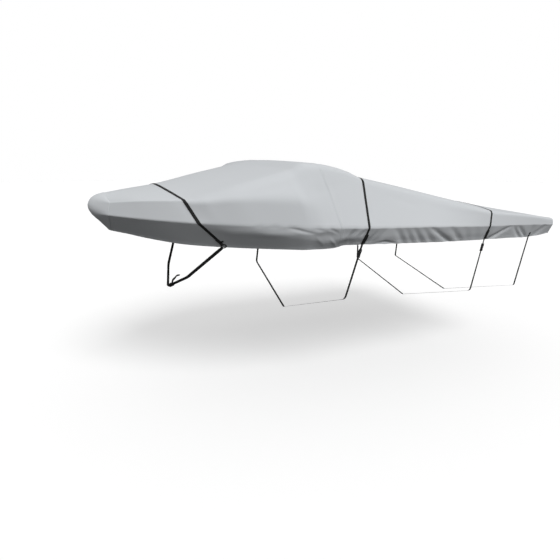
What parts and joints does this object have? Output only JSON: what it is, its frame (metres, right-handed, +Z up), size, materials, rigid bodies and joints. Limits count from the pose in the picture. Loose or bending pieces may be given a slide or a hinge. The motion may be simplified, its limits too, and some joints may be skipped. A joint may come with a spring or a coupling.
{
  "type": "boat cover",
  "caption": "Fitted trailering cover for a small open boat with a windscreen: hollow grey cloth drawn over the bow, windscreen and gunwales, with webbing straps under the hull.",
  "frame": {"origin": "underside of the cloth at the middle of the windscreen's top edge, where the boat holds the cover up", "axes": "+X aft along the boat, +Y to starboard, +Z up; the ground under the trailer would be at Z = -1.946 m"},
  "size_m": [4.2338, 2.088, 1.4595],
  "materials": {
    "cover_cloth": "light grey coated polyester canvas, fine plain weave, soft dull sheen",
    "webbing": "black woven polypropylene webbing",
    "buckle_plastic": "black moulded acetal, satin"
  },
  "bodies": {
    "root": {"panel_nose": "cover_cloth", "panel_fore": "cover_cloth", "panel_aft": "cover_cloth", "bow_tab_port": "webbing", "bow_tag_port": "webbing", "bow_strap_side_port": "webbing", "bow_strap_stem_port": "webbing", "stern_tab_port": "webbing", "stern_tie_side_port": "webbing", "stern_tie_bottom_port": "webbing", "mid_tab_port": "webbing", "mid_strap_side_port": "webbing", "mid_strap_bottom_port": "webbing", "aft_tab_port": "webbing", "aft_strap_side_port": "webbing", "aft_strap_bottom_port": "webbing", "bow_tab_starboard": "webbing", "bow_tag_starboard": "webbing", "bow_strap_side_starboard": "webbing", "bow_strap_stem_starboard": "webbing", "stern_tab_starboard": "webbing", "stern_tie_side_starboard": "webbing", "stern_tie_bottom_starboard": "webbing", "mid_tab_starboard": "webbing", "mid_strap_side_starboard": "webbing", "mid_strap_bottom_starboard": "webbing", "aft_tab_starboard": "webbing", "aft_strap_side_starboard": "webbing", "aft_strap_bottom_starboard": "webbing", "bow_strap_over": "webbing", "bow_strap_stem_end": "webbing", "bow_strap_tail": "webbing", "mid_strap_over": "webbing", "aft_strap_over": "webbing", "bow_buckle": "buckle_plastic", "mid_buckle": "buckle_plastic", "aft_buckle": "buckle_plastic", "bow_ring_port": "buckle_plastic", "bow_ring_starboard": "buckle_plastic"}
  },
  "joints": []
}
